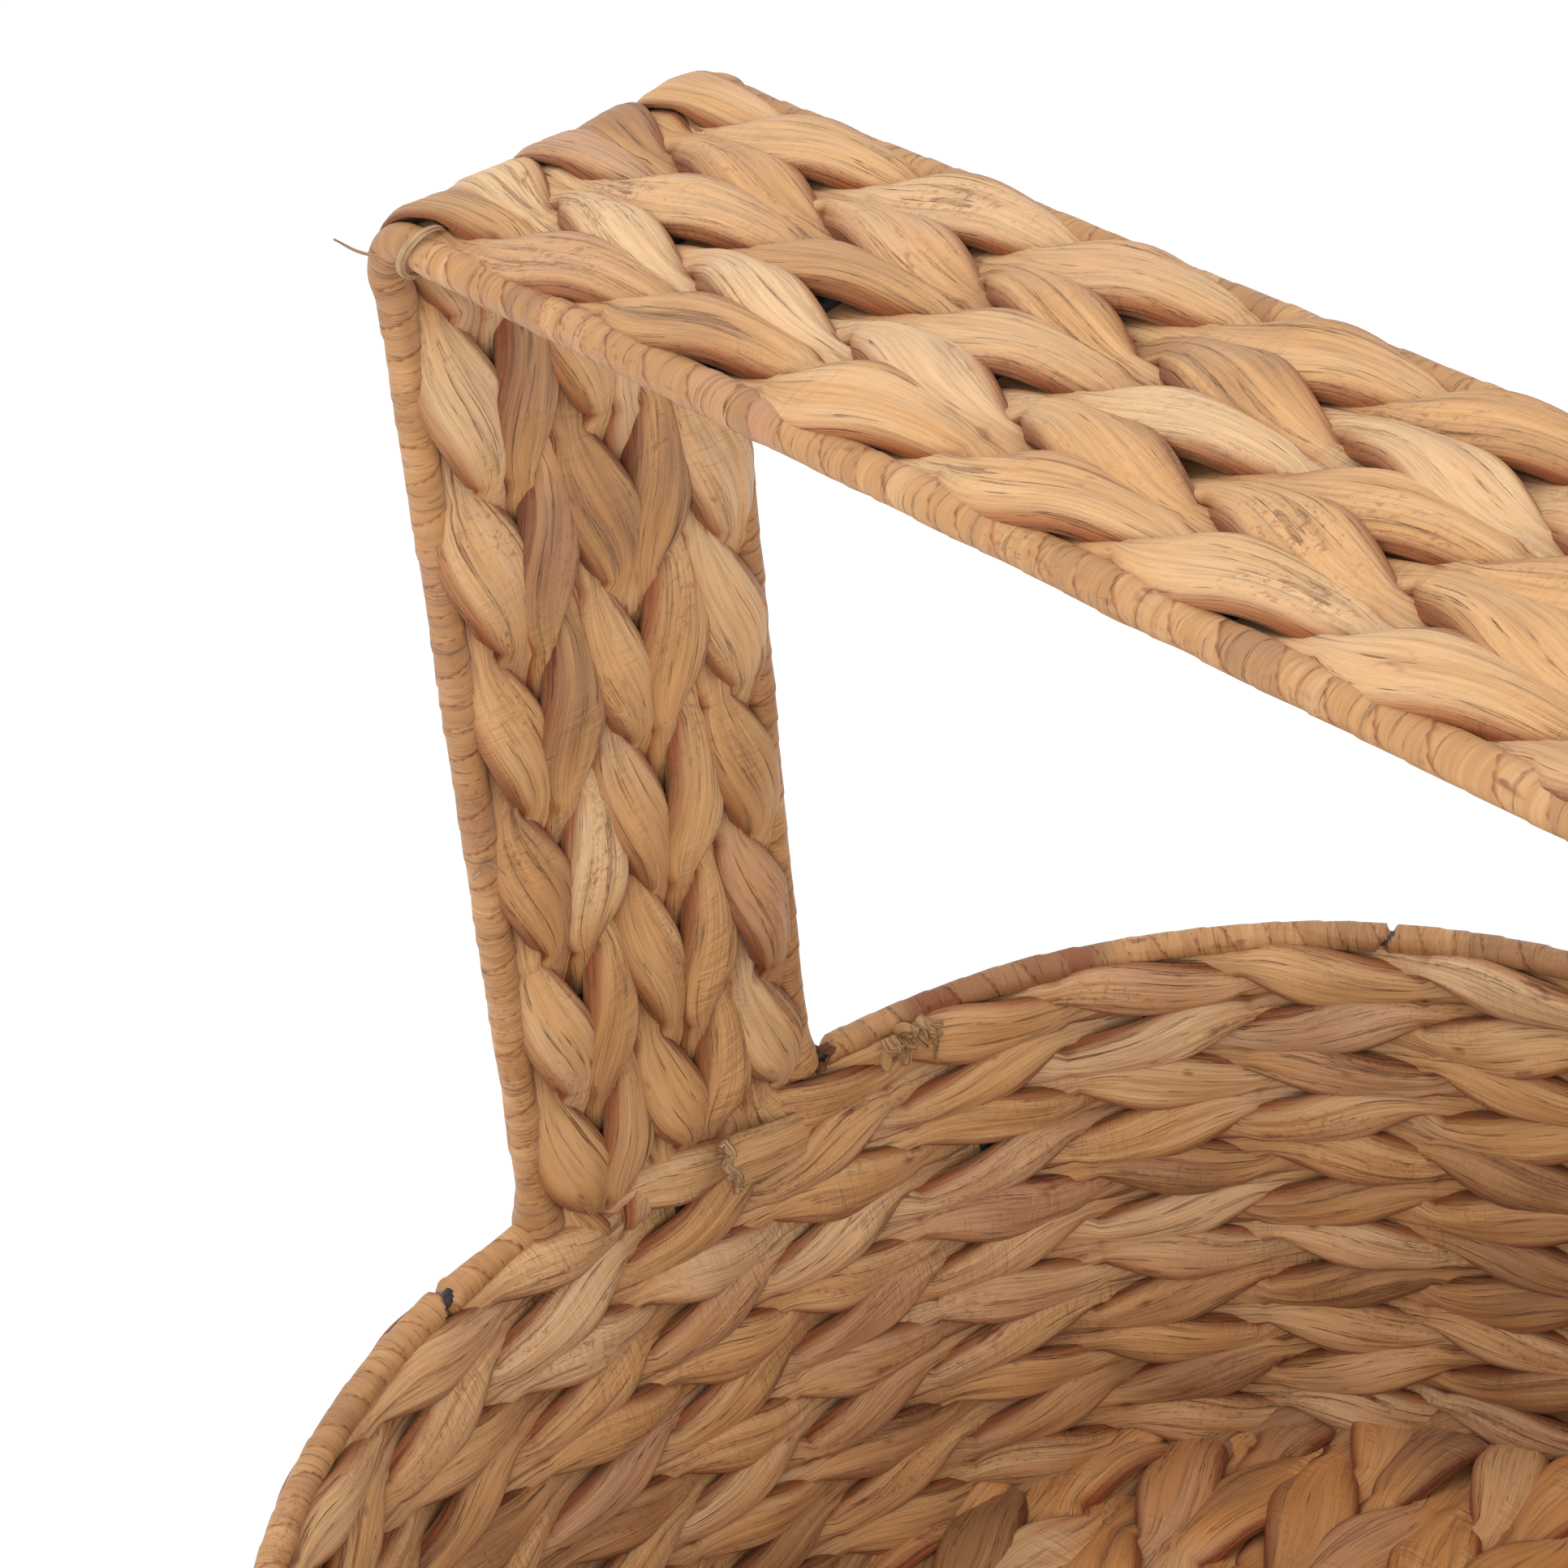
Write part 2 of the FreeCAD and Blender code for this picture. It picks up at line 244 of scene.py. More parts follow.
def strap_half():
    return node_middle("handle_wire_back")[1]


def wobble(rng, distance, total, size):
    """A slow unevenness that closes on itself after the whole length."""
    turn = 2 * np.pi * distance / total
    waves = [rng.normal() * np.cos(k * turn + rng.uniform(0, 6.3)) / k for k in range(2, 9)]
    return size * sum(waves)


def ring_lay(z, offset, lean, step):
    """A closed line round the basket at a height, offset outward from the rim outline."""
    total = outline_length()
    count = int(total / step)
    distance = np.arange(count) * total / count + strap_half() / 2
    plan, out = outline_at(distance, offset)
    normals = np.column_stack([out * math.cos(lean), np.full(count, -math.sin(lean))])
    widths = np.column_stack([out * math.sin(lean), np.full(count, math.cos(lean))])
    stakes = stake_distances()
    marks = np.append(stakes, stakes[0] + total)
    shifted = np.where(distance < stakes[0], distance + total, distance)
    shifted = np.where(shifted >= marks[-1], shifted - total, shifted)
    stake = np.interp(shifted, marks, np.arange(len(marks)))
    points = np.column_stack([plan, np.full(count, z)])
    return Lay(points, normals, widths, distance, stake, True)


def handle_polyline(y, foot, step):
    """Points and outward directions up a post, along the bar and down. foot is the height above the
    rim at which it starts and ends."""
    sizes = settings().frame_sizes
    rim_z = node_middle("rim_wire")[2]
    top_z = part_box("handle_wire_front")[1][2] - sizes.wire_r
    rise = top_z - rim_z
    slope = math.atan2(sizes.foot_x - sizes.bar_half, rise)
    up = np.array([math.sin(slope), 0, math.cos(slope)])
    out = np.array([-math.cos(slope), 0, math.sin(slope)])
    base = np.array([-sizes.foot_x, 0, rim_z])
    corner = np.array([-sizes.bar_half, 0, top_z])
    turn = math.pi / 2 - slope
    setback = sizes.bend_r * math.tan(turn / 2)
    before = corner - up * setback
    centre = before - out * sizes.bend_r
    start = base + up * foot / math.cos(slope)
    post = np.linspace(0, 1, max(2, int(np.linalg.norm(before - start) / step)), endpoint=False)
    left = [start + (before - start) * f for f in post]
    left_out = [out for _ in post]
    bends = max(4, int((sizes.bend_r + 4 * MM) * turn / step))
    for f in np.arange(bends) / bends:
        swing = slope + turn * f
        direction = np.array([-math.cos(swing), 0, math.sin(swing)])
        left.append(centre + direction * sizes.bend_r)
        left_out.append(direction)
    bar_end = corner[0] + setback
    above = np.array([0.0, 0, 1.0])
    for x in np.linspace(bar_end, 0, max(2, int(-bar_end / step)), endpoint=False):
        left.append(np.array([x, 0, top_z]))
        left_out.append(above)
    mirror = np.array([-1, 1, 1])
    points = np.array(left + [above * top_z] + [p * mirror for p in reversed(left)])
    outs = np.array(left_out + [above] + [n * mirror for n in reversed(left_out)])
    return points + np.array([0, y, 0]), outs


def lap_length(lay):
    """The length in millimetres once round a closed line, or None for an open one."""
    return (2 * lay.distance[-1] - lay.distance[-2] - lay.distance[0]) / MM if lay.closed else None


def run_length(points):
    return np.append(0, np.cumsum(np.linalg.norm(np.diff(points, axis=0), axis=1)))


def handle_lay(y, foot, step):
    """The line of one course of the strap, or of a handle wire, counting the rungs it crosses."""
    sizes = settings().frame_sizes
    points, outs = handle_polyline(y, foot, step)
    distance = run_length(points)
    height = points[:, 2] - node_middle("rim_wire")[2]
    half = len(points) // 2
    posts = [-17 * MM] + [sizes.rung_first + sizes.post_rung_pitch * i for i in range(sizes.post_rungs)]
    marks = list(np.interp(posts, height[:half], distance[:half]))
    bend = np.argmax(outs[:half, 2] > math.sin(math.radians(45)))
    marks.append(distance[bend])
    bar = (np.arange(sizes.bar_rungs / 2) + 0.5) * sizes.bar_rung_pitch
    marks += sorted(distance[half] - b for b in bar)
    marks = np.array(marks + [distance[-1] - m for m in reversed(marks)])
    stake = np.interp(distance, marks, np.arange(len(marks)))
    stake += (distance - marks[0]).clip(max=0) / sizes.rung_first
    stake += (distance - marks[-1]).clip(min=0) / sizes.rung_first
    widths = np.tile([0.0, 1.0, 0.0], (len(points), 1))
    return Lay(points, outs, widths, distance, stake, False)


def floor_lay(index, step):
    """The line of one floor row, ending under the wall's lowest course."""
    sizes = settings().frame_sizes
    low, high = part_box("floor_row_%02d" % index)
    turn = sizes.floor_turn
    across = np.array([math.cos(turn), math.sin(turn)])
    along = np.array([-math.sin(turn), math.cos(turn)])
    middle = np.array([(low[0] + high[0]) / 2, (low[1] + high[1]) / 2])
    side = float(middle @ across)
    row_ends = base_offset() - 0.5 * MM
    plan, _ = outline_at(np.linspace(0, outline_length(), 1440, endpoint=False), row_ends)
    beside = np.abs(plan @ across - side) < 1.2 * MM
    reach = plan[beside] @ along
    start, end = reach.min(), reach.max()
    count = int((end - start) / step)
    v = np.linspace(start, end, count)
    z = node_middle("base_wire")[2] + 1.5 * MM
    sink = 1.6 * MM * np.exp(-np.minimum(v - start, end - v) / (7 * MM))
    points = np.column_stack([side * across + v[:, None] * along, z - sink])
    normals = np.tile([0.0, 0.0, 1.0], (count, 1))
    widths = np.tile([across[0], across[1], 0.0], (count, 1))
    return Lay(points, normals, widths, v - start, v / sizes.floor_wire_pitch + 40, False)


# --- Meshes ---

def layers(*parts):
    """Arrays that broadcast against each other, stacked as the parts of vectors."""
    return np.stack(np.broadcast_arrays(*parts), axis=-1)


def lay_rings(lay, n, w):
    """Rings about a line, n along its normals and w along its widths, ordered to face outward."""
    rings = lay.points[:, None] + lay.normals[:, None] * n[..., None] + lay.widths[:, None] * w[..., None]
    ahead = lay.points[1] - lay.points[0]
    return rings[:, ::-1] if np.cross(lay.normals[0], lay.widths[0]) @ ahead < 0 else rings


class MeshStock:
    """Gathers rings of points into one mesh, with the two attributes that the materials read: stem,
    a place along and round a stem, and tint, which is how pale, how red and how much painted shade it takes."""

    def __init__(self):
        self.points, self.faces, self.stem, self.tint, self.wrap = [], [], [], [], []
        self.count = 0

    def tube(self, rings, stem, tint, lap):
        """rings, stem and tint are (n, k, 3). lap is the length in millimetres of a closed tube, or None
        for an open one, which gets a domed cap at each end."""
        closed = lap is not None
        n, k, _ = rings.shape
        index = self.count + np.arange(n * k).reshape(n, k)
        ahead = np.roll(index, -1, axis=0) if closed else index[1:]
        here = index if closed else index[:-1]
        quads = np.stack([here, np.roll(here, -1, axis=1), np.roll(ahead, -1, axis=1), ahead], axis=-1)
        self.points.append(rings.reshape(-1, 3))
        self.stem.append(stem.reshape(-1, 3))
        self.tint.append(tint.reshape(-1, 3))
        self.faces.append(quads.reshape(-1, 4))
        wrap = np.zeros(quads.shape[:2])
        wrap[-1] = lap if closed else 0
        self.wrap.append(wrap.ravel())
        self.count += n * k
        if not closed:
            self.cap(rings[0], rings[1], stem[0], tint[0], index[0][::-1])
            self.cap(rings[-1], rings[-2], stem[-1], tint[-1], index[-1])

    def cap(self, ring, inner, stem, tint, order):
        """Closes a tube's end with a point a little beyond it."""
        middle = ring.mean(axis=0)
        beyond = middle + (middle - inner.mean(axis=0)) * 0.6
        self.points.append(beyond[None])
        self.stem.append(stem.mean(axis=0)[None])
        self.tint.append(tint.mean(axis=0)[None])
        tip = np.full(len(order), self.count)
        self.faces.append(np.stack([order, np.roll(order, -1), tip, tip], axis=-1))
        self.wrap.append(np.zeros(len(order)))
        self.count += 1

    def build(self, name, material):
        points = np.concatenate(self.points)
        points[:, 2] = np.maximum(points[:, 2], LOWEST)
        faces = np.concatenate(self.faces)
        sides = np.where(faces[:, 2] == faces[:, 3], 3, 4)
        corners = faces[np.arange(4) < sides[:, None]]
        mesh = bpy.data.meshes.new(name)
        mesh.vertices.add(len(points))
        mesh.vertices.foreach_set("co", points.ravel())
        mesh.loops.add(len(corners))
        mesh.loops.foreach_set("vertex_index", corners)
        mesh.polygons.add(len(faces))
        starts = np.append(0, np.cumsum(sides)[:-1])
        mesh.polygons.foreach_set("loop_start", starts)
        mesh.update(calc_edges=True)
        mesh.polygons.foreach_set("use_smooth", np.ones(len(faces), dtype=bool))
        stem = np.concatenate(self.stem)[corners]
        wrap = np.concatenate(self.wrap)
        closing = np.flatnonzero(wrap)
        for corner in (2, 3):
            stem[starts[closing] + corner, 0] += wrap[closing]
        tint = np.concatenate(self.tint)
        for kind, domain, values in (("stem", "CORNER", stem), ("tint", "POINT", tint)):
            layer = mesh.attributes.new(kind, "FLOAT_VECTOR", domain)
            layer.data.foreach_set("vector", values.ravel())
        mesh.materials.append(material)
        piece = bpy.data.objects.new(name, mesh)
        bpy.context.collection.objects.link(piece)
        return piece


def finish_piece(piece, slot, *nodes):
    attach(piece, BODY)
    if nodes:
        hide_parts(*nodes)


# --- Stems ---

GRAIN_REACH = 5  # how far the grain's pattern spreads round a stem
GRAIN_START = 900  # stems start at random places along it, up to this
TONES = (0.16, 0.34, 0.44, 0.50, 0.54, 0.58, 0.62, 0.70, 0.80, 0.95)
STRIP_TONES = (0.20, 0.36, 0.46, 0.52, 0.58)


def stitchwise(values, stake):
    """Runs one value per stitch smoothly into the next."""
    whole = np.floor(stake).astype(int)
    part = stake - whole
    ease = 0.5 - 0.5 * np.cos(np.pi * part)
    here, ahead = values[whole % len(values)], values[(whole + 1) % len(values)]
    return here * (1 - ease) + ahead * ease


def stem_relief(rng, stake, theta, stitches, closed):
    """Folds and ridges along a stem, as heights in metres."""
    weave = settings().weave
    relief = np.zeros((len(stake), len(theta)))
    for waves, size in ((3, 1.2), (5, 1.0), (7, 0.9), (9, 0.8), (12, 0.7), (15, 0.5)):
        drift = stitchwise(rng.uniform(-1.3, 1.3, stitches), stake)
        strength = stitchwise(rng.uniform(0.2, 1.0, stitches), stake)
        phase = rng.uniform(0, 2 * np.pi)
        relief += weave.ridge_depth * size * (
            strength[:, None] * np.cos(waves * theta[None] + phase + drift[:, None] * 2))
    first, last = int(math.floor(stake.min())), int(math.ceil(stake.max()))
    for stitch in range(first, last + 1):
        for _ in range(rng.integers(3, 7)):
            at = rng.choice((0, np.pi)) + rng.uniform(-1.25, 1.25)
            middle = stitch + rng.choice((-1, 1)) * rng.uniform(0.15, 0.5)
            reach = rng.uniform(0.22, 0.6)
            depth = weave.crease_depth * rng.uniform(0.2, 1.0)
            slip = rng.uniform(-0.5, 0.5)
            gap = stake - middle
            if closed:
                gap = (gap + stitches / 2) % stitches - stitches / 2
            rows = np.abs(gap) < reach
            fade = np.cos(gap[rows] / reach * np.pi / 2) ** 2
            near = (theta[None] - at - slip * gap[rows][:, None] + np.pi) % (2 * np.pi) - np.pi
            relief[rows] -= depth * fade[:, None] * np.exp(-(near / 0.12) ** 2)
    return relief


def lay_stem(stock, lay, strand, sense, half_width, half_depth, rng, taper, press, shade, shift, lead):
    """One stem of a course: a flat leaf outside one wire, pinched where it crosses its partner,
    then a flat leaf inside the next. press flattens it against the wires, and lead brings one end of
    each leaf out over the start of the next."""
    weave = settings().weave
    stake = lay.stake
    stitches = int(round(stake.max() - stake.min())) if lay.closed else int(stake.max()) + 3

    def vary(low, high):
        return stitchwise(rng.uniform(low, high, stitches), stake)

    theta = np.arange(weave.around) * 2 * np.pi / weave.around
    turn = sense * np.pi * (stake + strand + vary(-0.08, 0.08) + shift)
    face, side = np.cos(turn), np.sin(turn)
    on_wire = np.abs(face) ** 0.66
    width = weave.swell * (weave.pinch + (1 - weave.pinch) * on_wire)
    width = width * vary(1 - weave.uneven, 1 + weave.uneven) * taper
    depth = (0.56 - 0.08 * on_wire) * vary(0.92, 1.08) * taper * press
    out = (0.57 * np.cos(sense * turn + lead) + vary(-0.06, 0.06)) * press
    aside = weave.slant * np.arcsin(0.96 * side) / math.asin(0.96) + vary(-0.09, 0.09)
    tilt = 0.20 * np.sin(2 * turn) + vary(-0.16, 0.16)
    relief = stem_relief(rng, stake, theta, stitches, lay.closed) * (1.35 - 0.55 * on_wire)[:, None]
    round_off = np.abs(np.cos(theta)) ** 0.86 * np.sign(np.cos(theta))
    spread = np.abs(np.sin(theta)) ** 0.9 * np.sign(np.sin(theta))
    radial = depth[:, None] * round_off[None] * half_depth + relief * np.cos(theta)[None]
    tangent = width[:, None] * spread[None] * half_width + relief * np.sin(theta)[None]
    n = (out * half_depth)[:, None] + radial * np.cos(tilt)[:, None] - tangent * np.sin(tilt)[:, None]
    w = (aside * half_width)[:, None] + radial * np.sin(tilt)[:, None] + tangent * np.cos(tilt)[:, None]
    run = lay.distance / MM + rng.uniform(0, GRAIN_START)
    stem = layers(run[:, None], GRAIN_REACH * np.cos(theta), GRAIN_REACH * np.sin(theta))
    # shade darkens the whole stem's tone: painted shade, given to the floor's rows and the rings at the
    # wall's foot
    tone = stitchwise(rng.choice(TONES, stitches), stake) + shade
    rose = stitchwise(rng.beta(0.65, 1.8, stitches), stake)
    # edge is painted shade: darker towards a stem's sides, where it meets its neighbours, and towards its
    # tucked ends by the crossings
    edge = np.abs(np.sin(theta))[None] ** 3.5 * (1.25 - 0.4 * on_wire)[:, None]
    edge += 0.3 * (1 - on_wire)[:, None] ** 2
    stock.tube(lay_rings(lay, n, w), stem, layers(tone[:, None], rose[:, None], edge), lap_length(lay))


def lay_course(name, nodes, lay, sense, half_width, seed, kind, lead, half_depth=None, taper=1.0,
               press=1.0, shade=0.0):
    """Two stems twined about the wires that a line crosses, as a piece in place of the nodes. shade is
    painted shade that darkens their tone.
    """
    rng = np.random.default_rng(seed)
    stock = MeshStock()
    half_depth = half_depth or settings().weave.half_depth
    shift = rng.uniform(-0.07, 0.07)
    for strand in (0, 1):
        lay_stem(stock, lay, strand, sense, half_width, half_depth, rng, taper, press, shade, shift, lead)
    finish_piece(stock.build(name, stem_material(kind)), "weave", *nodes)


def bend_press(lay, least):
    """Flattens the strap's courses where they turn over the handle's corners."""
    bending = ((lay.normals[:, 2] > 0.2) & (lay.normals[:, 2] < 0.995)).astype(float)
    spread = np.exp(-np.linspace(-2, 2, 17) ** 2)
    return 1 - (1 - least) * np.convolve(bending, spread / spread.max(), "same").clip(0, 1)


def square_bends(lay, reach):
    """Carries a handle line outward over its corners, so that they look squarer."""
    over = (1 - bend_press(lay, 0.0))[:, None] * reach
    return lay._replace(points=lay.points + lay.normals * over)


def end_taper(lay, run, least):
    """Narrows a course over its last stretch at each end."""
    left = np.minimum(lay.distance, lay.distance[-1] - lay.distance)
    ease = np.clip(left / run, 0, 1)
    return least + (1 - least) * np.sqrt(ease * (2 - ease))


# --- Bindings ---

def wind_strip(stock, lay, outer, bare, stained, rng):
    """A strip wound round a wire, each turn overlapping the last. bare lists spots left open, and
    stained those that dried dark, each a place along the wire and half a length."""
    weave = settings().weave
    theta = np.arange(24) * 2 * np.pi / 24
    travel = lay.distance - lay.distance[0]
    total = travel[-1] + travel[1]
    count = int(total / weave.strip_width)
    edges = np.append(0, np.cumsum(rng.uniform(0.6, 1.45, count)))
    turns = np.interp(travel, edges * total / edges[-1], np.arange(count + 1))
    around = theta[None] / (2 * np.pi)
    whole = np.floor(turns[:, None] - around)
    part = turns[:, None] - around - whole
    wound = whole + around

    def vary(values):
        index = np.floor(wound).astype(int)
        ease = wound - index
        return values[index % count] * (1 - ease) + values[(index + 1) % count] * ease

    step_up = np.clip(part / 0.10, 0, 1) * (1 - 0.75 * part)
    lift = vary(rng.uniform(0.15, 1.0, count)) * weave.strip_lift
    lumps = wobble(rng, lay.distance, total, 1.0)
    knots = rng.normal(size=59)
    slow = np.interp(travel, np.linspace(0, total, 60), np.append(knots, knots[0]))
    radius = outer - 0.6 * weave.strip_lift + lift * step_up + weave.strip_lift * 0.28 * slow[:, None]
    radius += weave.strip_lift * 0.1 * lumps[:, None]
    skew = 0.35 * MM * np.sin(theta)[None]
    for spot, half in bare:
        gap = np.abs(lay.distance[:, None] + 4 * skew - spot)
        if lay.closed:
            gap = np.minimum(gap, total - gap)
        open_here = np.clip((half - gap) / (0.5 * MM), 0, 1)
        radius = radius * (1 - open_here) + (settings().frame_sizes.wire_r - 0.3 * MM) * open_here
    stem = layers((lay.distance[:, None] + skew) / MM, 3 * np.cos(theta), 3 * np.sin(theta))
    tone, rose = vary(rng.choice(STRIP_TONES, count)), vary(rng.beta(0.6, 2.0, count))
    patchy = np.clip(vary(rng.uniform(0.3, 1.2, count)), 0, 1)
    for spot, half in stained:
        dark = np.clip((half - np.abs(lay.distance[:, None] - spot)) / (5 * MM), 0, 1) * patchy
        tone, rose = tone * (1 - dark) - dark, rose * (1 - dark)
    rings = lay_rings(lay, radius * np.cos(theta), radius * np.sin(theta))
    # The tint's third part is painted shade at the step where each turn of strip meets the next.
    stock.tube(rings, stem, layers(tone, rose, np.clip(1 - part / 0.14, 0, 1)), lap_length(lay))


# --- Materials ---

class NodeDesk:
    """Lays out a node tree in a few words."""

    def __init__(self, name):
        self.material = bpy.data.materials.new(name)
        self.material.use_nodes = True
        self.tree = self.material.node_tree
        self.shader = self.tree.nodes["Principled BSDF"]

    def put(self, kind, inputs=(), **settings_):
        node = self.tree.nodes.new(kind)
        for key, value in settings_.items():
            setattr(node, key, value)
        return self.feed(node, dict(inputs))

    def feed(self, node, inputs):
        """Links sockets to a node's inputs, and sets plain values on them."""
        for key, value in inputs.items():
            if isinstance(value, bpy.types.NodeSocket):
                self.tree.links.new(value, node.inputs[key])
            else:
                node.inputs[key].default_value = value
        return node

    def attribute(self, name):
        return self.put("ShaderNodeAttribute", attribute_name=name).outputs["Vector"]

    def scaled(self, vector, scale):
        return self.put("ShaderNodeMapping", {"Vector": vector, "Scale": scale}).outputs[0]

    def noise(self, vector, scale, detail=2.0, rough=0.5, warp=0.0):
        return self.put("ShaderNodeTexNoise", {"Vector": vector, "Scale": scale, "Detail": detail,
                                               "Roughness": rough, "Distortion": warp}).outputs["Fac"]

    def ramp(self, value, *stops):
        """stops are (place, grey or colour) pairs."""
        node = self.put("ShaderNodeValToRGB", {"Fac": value})
        while len(node.color_ramp.elements) < len(stops):
            node.color_ramp.elements.new(0.5)
        for element, (place, tone) in zip(node.color_ramp.elements, stops):
            element.position = place
            element.color = (tone, tone, tone, 1) if isinstance(tone, float) else (*tone, 1)
        return node.outputs["Color"]

    def math(self, operation, a, b=0.0):
        return self.put("ShaderNodeMath", {0: a, 1: b}, operation=operation).outputs[0]

    def times(self, a, b):
        return self.math("MULTIPLY", a, b)

    def mix(self, factor, a, b, blend="MIX"):
        """Mixes the colour b into a. b may be a socket or three values."""
        inputs = {0: factor, 6: a, 7: b if isinstance(b, bpy.types.NodeSocket) else (*b, 1)}
        return self.put("ShaderNodeMix", inputs, data_type="RGBA", blend_type=blend).outputs[2]

    def bump(self, height, distance, strength, normal=None):
        inputs = {"Height": height, "Distance": distance, "Strength": strength}
        if normal is not None:
            inputs["Normal"] = normal
        return self.put("ShaderNodeBump", inputs).outputs[0]


def dried_stem(name, along, fineness, pale, stain):
    """Dried stem: streaks and folds along the grain, specks, and painted shade at edges and tucked ends.
    along is the grain's stretch on the three axes of the stem attribute, pale names the colour of most
    of it, and stain is how dark the folds are."""
    colours = settings().colours
    desk = NodeDesk(name)
    stem = desk.attribute("stem")
    tone, rose, edge = desk.put("ShaderNodeSeparateXYZ", {0: desk.attribute("tint")}).outputs

    def noise(stretch, *form):
        return desk.noise(desk.scaled(stem, stretch), *form)

    def looser(by):
        return tuple(by * a if a < 1 else a for a in along)

    grain = desk.scaled(stem, along)
    fibres = desk.noise(grain, 3.4 * fineness, 4.0, 0.62)
    bands = desk.noise(grain, 0.75 * fineness, 2.0, 0.5, 0.3)
    folds = desk.noise(grain, 1.5 * fineness, 3.0, 0.66, 0.6)
    cloud = noise(looser(3), 0.16, 3.0, 0.6)
    shade = desk.math("ADD", tone, desk.times(desk.math("SUBTRACT", bands, 0.5), 0.75))
    shade = desk.math("ADD", shade, desk.times(desk.math("SUBTRACT", cloud, 0.5), 0.5))
    body = desk.ramp(shade, (0.12, colours.brown), (0.5, getattr(colours, pale)), (0.95, colours.straw))
    reddish = desk.times(desk.ramp(rose, (0.35, 0.0), (0.9, 0.85)), desk.ramp(cloud, (0.3, 0.4), (0.7, 1.0)))
    body = desk.mix(reddish, body, colours.rose)
    streak = desk.ramp(fibres, (0.28, 0.56), (0.5, 1.0), (0.78, 1.20))
    body = desk.mix(0.25 + 0.8 * stain, body, streak, "MULTIPLY")
    fold_line = desk.ramp(folds, (0.36, 1.0), (0.385, 0.3), (0.405, 0.0))
    patch = desk.ramp(noise(looser(2), 0.35, 1.0), (0.38, 0.15), (0.62, 1.0))
    body = desk.mix(desk.times(desk.times(fold_line, patch), stain), body, colours.crease)
    spots = noise((0.6, 1, 1), 2.1 * fineness, 3.0, 0.75)
    spot_zone = noise((0.25, 1, 1), 0.12, 1.0)
    spotted = desk.times(desk.ramp(spots, (0.54, 0.0), (0.63, 1.0)),
                         desk.ramp(spot_zone, (0.54, 0.0), (0.66, 0.5)))
    blotch = desk.ramp(noise((0.35, 1, 1), 0.22, 3.0, 0.6), (0.66, 0.0), (0.74, 0.8))
    body = desk.mix(desk.math("MAXIMUM", spotted, blotch), body, colours.speck)
    scorched = desk.ramp(desk.times(tone, -1.0), (0.3, 0.0), (0.95, 0.9))
    body = desk.mix(scorched, body, colours.scorch)
    # Painted shade: edge darkens a stem's sides and tucked ends, and the step of each strip turn.
    edge_shade = (0.46, 0.19, 0.075)
    body = desk.mix(desk.ramp(edge, (0.24, 0.0), (0.62, 0.5), (1.0, 0.9)), body, edge_shade, "MULTIPLY")
    wrinkle_zone = desk.ramp(noise((0.3, 1, 1), 0.14, 1.0), (0.5, 0.0), (0.66, 1.0))
    crinkle = desk.times(noise((1.0, 0.25, 0.25), 0.55, 2.0, 0.55, 0.6), wrinkle_zone)
    normal = desk.bump(desk.math("SUBTRACT", 1.0, fold_line), 0.35 * MM, 0.9)
    normal = desk.bump(fibres, (0.2 + 0.4 * stain) * MM, 0.95, normal)
    normal = desk.bump(crinkle, 1.3 * MM, 0.75, normal)
    roughness = desk.ramp(fibres, (0.3, 0.60), (0.7, 0.46))
    desk.feed(desk.shader, {"Base Color": body, "Roughness": roughness, "Normal": normal,
                            "Specular IOR Level": 0.38, "Sheen Weight": 0.06, "Sheen Roughness": 0.4})
    return desk.material


# The grain's stretch, its fineness, the colour of most of it and how dark its folds are
STEM_KINDS = {
    "dried_stem": ((0.034, 1.0, 1.0), 0.55, "tan", 0.62),
    # shaded_floor_stem is dried_stem in the floor's colour: painted shade and bounce light inside the basket
    "shaded_floor_stem": ((0.034, 1.0, 1.0), 0.55, "shaded_amber", 0.62),
    "wound_strip": ((1.0, 0.06, 0.06), 0.5, "strip", 0.16),
}


def stem_material(kind):
    return bpy.data.materials.get(kind) or dried_stem(kind, *STEM_KINDS[kind])


def wire_material():
    desk = NodeDesk("black_paint")
    place = desk.put("ShaderNodeTexCoord").outputs["Object"]
    grime = desk.noise(place, 420.0, 3.0, 0.6)
    paint = tuple(settings().colours.paint)
    worn = tuple(4 * c + 0.01 for c in paint)
    desk.feed(desk.shader, {"Base Color": desk.ramp(grime, (0.4, paint), (0.8, worn)),
                            "Roughness": desk.ramp(grime, (0.3, 0.32), (0.75, 0.55)),
                            "Normal": desk.bump(grime, 0.1 * MM, 0.3)})
    return desk.material


# --- Operators ---

class BASKET_OT_wires(bpy.types.Operator):
    """Paints the frame's wires"""
    bl_idname = "basket.wires"
    bl_label = "Wire frame"

    def execute(self, context):
        paint = wire_material()
        for name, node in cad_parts.items():
            if name in ("rim_wire", "base_wire", "wall_stakes", "handle_rungs") or "_wire_" in name:
                node.data.materials.clear()
                node.data.materials.append(paint)
                node.material_slots[0].material = paint
        return {"FINISHED"}


